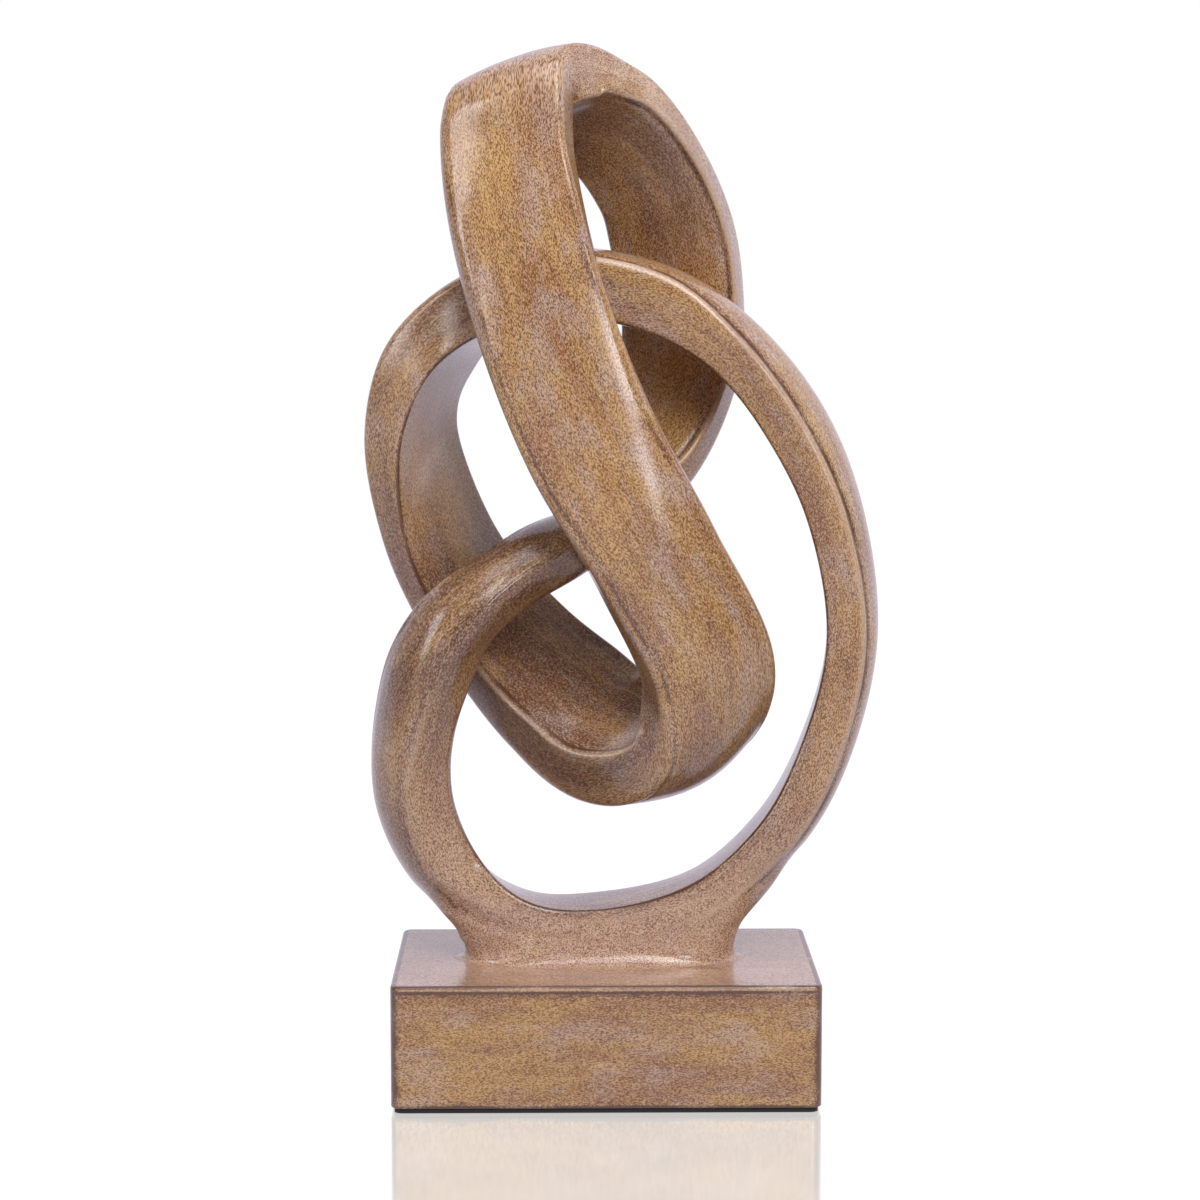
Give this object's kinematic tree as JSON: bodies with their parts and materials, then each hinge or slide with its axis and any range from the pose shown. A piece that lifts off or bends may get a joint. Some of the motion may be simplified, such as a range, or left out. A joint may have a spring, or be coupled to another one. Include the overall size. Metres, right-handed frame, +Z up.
{
  "type": "knot sculpture",
  "caption": "Table-top knot sculpture: a broad faux-wood band tied as a trefoil knot, standing by a flared neck on a rectangular plinth with a felt pad.",
  "frame": {"origin": "centre of the underside, on the bottom of the felt pad, where the sculpture stands", "axes": "+X to the right and +Y away from the viewer when the long diagonal strand is in front; +Z up"},
  "size_m": [0.1571, 0.0792, 0.3172],
  "materials": {
    "lacquered_casting": "satin",
    "felt": "matte",
    "fibreboard": "matte",
    "iron": "matte",
    "steel": "satin"
  },
  "bodies": {
    "root": {"ring_section": "lacquered_casting", "left_arm_section": "lacquered_casting", "crown_section": "lacquered_casting", "plinth_shell": "lacquered_casting", "felt_pad": "felt", "base_board": "fibreboard", "ballast_block": "iron", "joint_dowel_upper": "steel", "joint_dowel_left": "steel", "joint_dowel_middle": "steel", "stud_left": "steel", "stud_right": "steel", "washer_left": "steel", "washer_right": "steel", "nut_left": "steel", "nut_right": "steel", "board_screw_1": "steel", "board_screw_2": "steel", "board_screw_3": "steel", "board_screw_4": "steel"}
  },
  "joints": []
}
